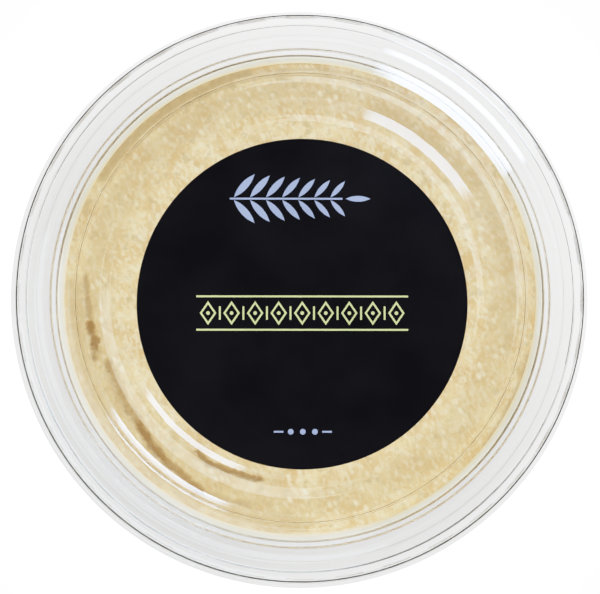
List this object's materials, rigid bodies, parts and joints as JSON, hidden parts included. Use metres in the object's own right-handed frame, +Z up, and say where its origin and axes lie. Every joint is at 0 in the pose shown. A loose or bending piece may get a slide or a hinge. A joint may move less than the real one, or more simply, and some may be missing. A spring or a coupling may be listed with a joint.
{
  "type": "tub of hummus",
  "caption": "Sealed round clear plastic tub filled with hummus, with a clear press-on lid and a round black label stuck on top.",
  "frame": {"origin": "centre of the tub's base, on the surface that it stands on", "axes": "+Z up through the lid, +Y towards the top edge of the label's print, +X to the print's right"},
  "size_m": [0.101, 0.101, 0.0459],
  "materials": {
    "tub_plastic": "clear gloss",
    "lid_plastic": "clear gloss",
    "hummus": "moist, grainy",
    "label_paper": "satin"
  },
  "bodies": {
    "root": {"tub": "tub_plastic", "hummus": "hummus", "lid": "lid_plastic", "label": "label_paper"}
  },
  "joints": []
}
